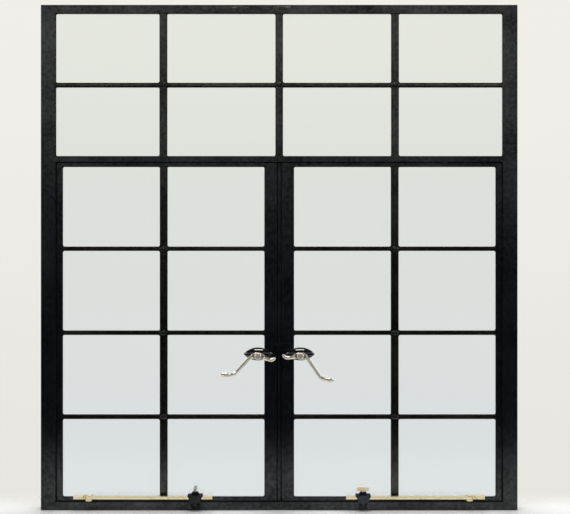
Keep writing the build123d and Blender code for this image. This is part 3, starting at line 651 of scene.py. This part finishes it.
def leaf_gaps(side):
    """The gaps between a leaf's bars, across and up, and the depth of their faces."""
    stiles = [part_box(f"{side}_hinge_stile"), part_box(f"{side}_meeting_stile")]
    if side == "right":
        stiles.reverse()
    bar_low, bar_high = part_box(f"{side}_glazing_bar")
    edges = [stiles[0][1].x, bar_low.x, bar_high.x, stiles[1][0].x]
    heights = [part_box(f"{side}_bottom_rail")[1].z]
    for bar in LEAF_GLAZING_BARS[1:]:
        low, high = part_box(f"{side}_{bar}")
        heights += [low.z, high.z]
    heights.append(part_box(f"{side}_top_rail")[0].z)
    return edges, heights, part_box(f"{side}_lower_cross_bar")[0].y


def glazed_groups():
    """The toplight and the two leaves: a name, the body that carries it and its gaps."""
    groups = [("toplight", "frame", toplight_gaps())]
    return groups + [(f"{side}_leaf", f"{side}_leaf", leaf_gaps(side)) for side in SIDES]


def corner_model(leg, depth):
    """A concave fillet for a corner whose sides run along +X and +Z, extruded along Y."""
    deselect()
    bpy.ops.mesh.primitive_plane_add(
        size=leg, location=(leg / 2, 0, leg / 2), rotation=(math.pi / 2, 0, 0)
    )
    bpy.ops.object.transform_apply(location=True, rotation=True, scale=True)
    model = start_piece()
    bpy.ops.mesh.select_all(action="DESELECT")
    bpy.ops.object.mode_set(mode="OBJECT")
    far = max(model.data.vertices, key=lambda vertex: vertex.co.x + vertex.co.z)
    far.select = True
    bpy.ops.object.mode_set(mode="EDIT")
    bpy.ops.mesh.select_mode(type="VERT")
    bpy.ops.mesh.bevel(
        offset=leg * CORNER_BEVEL_SHARE, segments=6, profile=0.1, affect="VERTICES"
    )
    bpy.ops.mesh.select_all(action="SELECT")
    bpy.ops.mesh.extrude_region_move(TRANSFORM_OT_translate={"value": (0, depth, 0)})
    bpy.ops.mesh.select_all(action="SELECT")
    bpy.ops.mesh.normals_make_consistent(inside=False)
    return end_piece(model)


def corner_places(edges, heights, face, sink):
    """Where the fillets go: the four corners of each pane, a little behind the bars' faces."""
    matrices = []
    for left, right in zip(edges[::2], edges[1::2]):
        for low, high in zip(heights[::2], heights[1::2]):
            corners = [(left, low, 0), (left, high, 90), (right, high, 180), (right, low, 270)]
            for x, z, turn in corners:
                spot = Matrix.Translation((x, face + sink, z))
                matrices.append(spot @ Matrix.Rotation(math.radians(turn), 4, "Y"))
    return matrices


def mound_model(width, height, rise):
    """A low mound of weld: the front of a flattened ball, roughened and smoothed."""
    deselect()
    bpy.ops.mesh.primitive_uv_sphere_add(segments=48, ring_count=32, radius=0.5)
    model = start_piece()
    bpy.ops.mesh.select_all(action="SELECT")
    bpy.ops.transform.resize(value=(width, rise * 2, height))
    bpy.ops.mesh.bisect(
        plane_co=(0, rise * MOUND_SUNK_SHARE, 0), plane_no=(0, 1, 0),
        use_fill=True, clear_outer=True,
    )
    end_piece(model)
    lumps = bpy.data.textures.new("weld_lumps", "CLOUDS")
    lumps.noise_scale = width * LUMP_WIDTH_SHARE
    roughen = model.modifiers.new("lumps", "DISPLACE")
    roughen.texture = lumps
    roughen.strength = rise * LUMP_RISE_SHARE
    roughen.mid_level = LUMP_MIDDLE
    bpy.context.view_layer.objects.active = model
    bpy.ops.object.modifier_apply(modifier="lumps")
    bpy.ops.object.select_all(action="DESELECT")
    model.select_set(True)
    bpy.ops.object.shade_smooth()
    return model


def crossing_places(edges, heights, face):
    """The middle of each crossing of an upright bar with a cross bar."""
    matrices = []
    for left, right in zip(edges[1::2], edges[2::2]):
        for low, high in zip(heights[1::2], heights[2::2]):
            matrices.append(Matrix.Translation(((left + right) / 2, face, (low + high) / 2)))
    return matrices


def pale_surroundings(stage):
    """A world that is pale to the camera and through glass, with a dim room before the window."""
    world = bpy.data.worlds.new("pale_surroundings")
    bpy.context.scene.world = world
    world.use_nodes = True
    world.node_tree.nodes.clear()
    wire = Wire(world.node_tree)
    camera = wire.node("ShaderNodeLightPath", output="Is Camera Ray")
    transmitted = wire.node("ShaderNodeLightPath", output="Is Transmission Ray")
    way = wire.node("ShaderNodeTexCoord", output="Generated")
    up = way.axis(2)
    pale = up.step(*PALE_SPAN).blend(colour(stage.background_low), colour(stage.background))
    beyond = up.step(*PALE_SPAN).blend(colour(stage.beyond_low), colour(stage.beyond))
    room = up.step(*ROOM_SPAN).blend(colour(stage.room_low), colour(stage.room_high))
    room = up.step(*CEILING_SPAN).blend(room, colour(stage.ceiling))
    around = way.axis(1).step(*OUTSIDE_SPAN).blend(room, pale)
    shown = transmitted.blend(camera.blend(around, pale), beyond)
    background = wire.node("ShaderNodeBackground", None, {"Color": shown, "Strength": 1.0})
    wire.node("ShaderNodeOutputWorld", None, {"Surface": background})


def pale_floor(stage):
    """A pale floor that fades away at its edges, so that no edge shows behind the panes."""
    deselect()
    bpy.ops.mesh.primitive_plane_add(size=FLOOR_SIZE, location=(0, 0, -FLOOR_DROP))
    floor = bpy.context.object
    floor.name = "floor"
    bpy.ops.object.transform_apply(location=True, rotation=False, scale=False)
    material, wire = new_material("pale_floor")
    place = places(wire)
    depth = place.axis(1)
    rear = depth.step(*REAR_FADE)
    front = (-1 * depth).step(*FRONT_FADE)
    beside = abs(place.axis(0)).step(*SIDE_FADE)
    patches = place.noise(scale=14.0, detail=4.0).step(*FLOOR_SPAN)
    plain = principled(
        wire,
        Base_Color=patches.blend(colour(stage.floor), colour(stage.floor_pale)),
        Roughness=0.7,
    )
    clear = wire.node("ShaderNodeBsdfTransparent")
    faded = rear.most(front).most(beside)
    output(wire, wire.node("ShaderNodeMixShader", None, {0: faded, 1: plain, 2: clear}))
    floor.data.materials.append(material)


def soft_lamp(name, place, size, power, target, tint):
    data = bpy.data.lights.new(name, "AREA")
    data.shape = "RECTANGLE"
    data.size, data.size_y = size
    data.energy = power
    data.color = tint
    lamp = bpy.data.objects.new(name, data)
    bpy.context.scene.collection.objects.link(lamp)
    lamp.location = place
    lamp.rotation_euler = (Vector(target) - Vector(place)).to_track_quat("-Z", "Y").to_euler()


def aim_camera(stage):
    data = bpy.data.cameras.new("camera")
    data.sensor_width = 36.0
    data.lens = data.sensor_width * stage.distance / stage.view_width
    camera = bpy.data.objects.new("camera", data)
    bpy.context.scene.collection.objects.link(camera)
    camera.location = (stage.camera_x, -stage.distance, stage.camera_z)
    camera.rotation_euler = (math.pi / 2, 0, 0)
    bpy.context.scene.camera = camera


class WINDOW_OT_paint_steel(bpy.types.Operator):
    """Paint the frame, the leaves, the bars and the hinges"""

    bl_idname = "window.paint_steel"
    bl_label = "Paint the steel"

    def execute(self, context):
        paint = settings().paint
        satin = steel_paint("satin_black_paint", paint, paint.deep, paint.worn)
        dull = steel_paint("dull_black_paint", paint, paint.deep, paint.worn, shine=0.6)
        bar_tones = (paint.bar_deep, paint.bar_worn)
        bars = steel_paint("glazing_bar_paint", paint, *bar_tones)
        head = steel_paint("flecked_black_paint", paint, *bar_tones, with_fleck_strips=True)
        finish_nodes(FRAME_BARS + sided(LEAF_BARS), satin)
        finish_nodes(FRAME_FITTINGS + sided(["stay_guide"]), dull)
        finish_nodes(TOPLIGHT_BARS + ["toplight_cross_bar"] + sided(LEAF_GLAZING_BARS), bars)
        finish_nodes(["head"], head)
        return {"FINISHED"}


class WINDOW_OT_glaze(bpy.types.Operator):
    """Finish the panes and the putty round them"""

    bl_idname = "window.glaze"
    bl_label = "Glaze the panes"

    def execute(self, context):
        finish_nodes(["toplight_panes"] + sided(["panes"]), clear_glass(settings().glass))
        finish_nodes(["toplight_putty"] + sided(["putty"]), putty_paint(settings().paint))
        return {"FINISHED"}


class WINDOW_OT_finish_handles(bpy.types.Operator):
    """Finish the handles, their pivots and their plates"""

    bl_idname = "window.finish_handles"
    bl_label = "Finish the handles"

    def execute(self, context):
        fitting = settings().fitting
        bronze = bright_metal(
            "polished_bronze", fitting.bronze, fitting.bronze_dull, roughness=0.15, bare=0.82
        )
        worn = bright_metal(
            "worn_bronze", fitting.copper, fitting.bronze_dull, roughness=0.22, bare=0.6
        )
        finish_nodes(sided(["handle"]), bronze)
        finish_nodes(sided(["handle_pivot"]), worn)
        finish_nodes(sided(["handle_plate", "plate_rivets"]), gloss_enamel(fitting))
        return {"FINISHED"}


class WINDOW_OT_finish_stays(bpy.types.Operator):
    """Finish the stays, their brackets and the thumbscrews"""

    bl_idname = "window.finish_stays"
    bl_label = "Finish the stays"

    def execute(self, context):
        fitting = settings().fitting
        # The stay bars' brass is painted lit low and shaded high: painted light and shade by
        # height
        low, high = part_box("left_stay_bar")
        shade = [low.z + (high.z - low.z) * share for share in STAY_SHADE_SHARES]
        drawn = bright_metal(
            "drawn_brass", fitting.lit_brass_low, fitting.brass_dull, roughness=0.26,
            grain=DRAWN_GRAIN, upper=(*shade, fitting.shaded_and_tarnished_brass),
        )
        polished = bright_metal(
            "polished_brass", fitting.brass, fitting.brass_dull, roughness=0.26, grain=DRAWN_GRAIN
        )
        tarnished = bright_metal(
            "tarnished_brass", fitting.brass_grey, fitting.brass_grey, roughness=0.45
        )
        handled = bright_metal(
            "handled_brass", fitting.brass, fitting.shaded_and_tarnished_brass, roughness=0.4, bare=0.75
        )
        finish_nodes(sided(["stay_bar"]), drawn)
        finish_nodes(sided(["stay_bracket", "stay_rivet"]), polished)
        finish_nodes(["left_thumbscrew"], tarnished)
        finish_nodes(["right_thumbscrew"], handled)
        return {"FINISHED"}


class WINDOW_OT_weld_corners(bpy.types.Operator):
    """Model the fillets in the panes' corners"""

    bl_idname = "window.weld_corners"
    bl_label = "Weld the corners"

    def execute(self, context):
        weld = settings().weld
        paint = bpy.data.materials["glazing_bar_paint"]
        for group, body, (edges, heights, face) in glazed_groups():
            model = corner_model(weld.corner, weld.corner_depth)
            spots = corner_places(edges, heights, face, weld.corner_sink)
            ride(copies(model, spots, f"{group}_corner_welds"), body, paint)
        return {"FINISHED"}


class WINDOW_OT_weld_crossings(bpy.types.Operator):
    """Model the mounds of weld where the bars cross"""

    bl_idname = "window.weld_crossings"
    bl_label = "Weld the crossings"

    def execute(self, context):
        weld = settings().weld
        paint = settings().paint
        glossy = steel_paint("weld_paint", paint, paint.bar_deep, paint.bar_worn, gloss=0.5)
        for group, body, (edges, heights, face) in glazed_groups():
            model = mound_model(weld.mound_width, weld.mound_height, weld.mound_rise)
            spots = crossing_places(edges, heights, face)
            ride(copies(model, spots, f"{group}_crossing_welds"), body, glossy)
        return {"FINISHED"}


class WINDOW_OT_set_stage(bpy.types.Operator):
    """Set the floor, the lamps, the pale surroundings and the camera"""

    bl_idname = "window.set_stage"
    bl_label = "Set the stage"

    def execute(self, context):
        stage = settings().stage
        pale_surroundings(stage)
        pale_floor(stage)
        for name, lamp in LAMPS.items():
            soft_lamp(name, **lamp)
        aim_camera(stage)
        context.scene.view_settings.view_transform = "Standard"
        return {"FINISHED"}


class WindowDresser(bpy.types.PropertyGroup):
    """All the sizes and colours that a user would change."""

    paint: bpy.props.PointerProperty(type=PaintSettings, name="Paint")
    glass: bpy.props.PointerProperty(type=GlassSettings, name="Glass")
    fitting: bpy.props.PointerProperty(type=FittingSettings, name="Fitting")
    weld: bpy.props.PointerProperty(type=WeldSettings, name="Weld")
    stage: bpy.props.PointerProperty(type=StageSettings, name="Stage")


OPERATORS = [
    WINDOW_OT_paint_steel,
    WINDOW_OT_glaze,
    WINDOW_OT_finish_handles,
    WINDOW_OT_finish_stays,
    WINDOW_OT_weld_corners,
    WINDOW_OT_weld_crossings,
    WINDOW_OT_set_stage,
]


class WINDOW_PT_dresser(bpy.types.Panel):
    """Lists the settings and the steps that dress the window"""

    bl_idname = "WINDOW_PT_dresser"
    bl_label = "Steel window"
    bl_space_type = "VIEW_3D"
    bl_region_type = "UI"
    bl_category = "Window"

    def draw(self, context):
        for label in WindowDresser.__annotations__:
            group = getattr(settings(), label)
            box = self.layout.box()
            box.label(text=label.capitalize())
            for name in group.__annotations__:
                box.prop(group, name)
        for operator in OPERATORS:
            self.layout.operator(operator.bl_idname)


CLASSES = [
    PaintSettings,
    GlassSettings,
    FittingSettings,
    WeldSettings,
    StageSettings,
    WindowDresser,
    *OPERATORS,
    WINDOW_PT_dresser,
]


def register():
    for item in CLASSES:
        bpy.utils.register_class(item)
    bpy.types.Scene.window_dresser = bpy.props.PointerProperty(type=WindowDresser)


def unregister():
    del bpy.types.Scene.window_dresser
    for item in reversed(CLASSES):
        bpy.utils.unregister_class(item)


def main():
    register()
    bpy.ops.window.paint_steel()
    bpy.ops.window.glaze()
    bpy.ops.window.finish_handles()
    bpy.ops.window.finish_stays()
    bpy.ops.window.weld_corners()
    bpy.ops.window.weld_crossings()
    bpy.ops.window.set_stage()


if __name__ == "__main__":
    main()
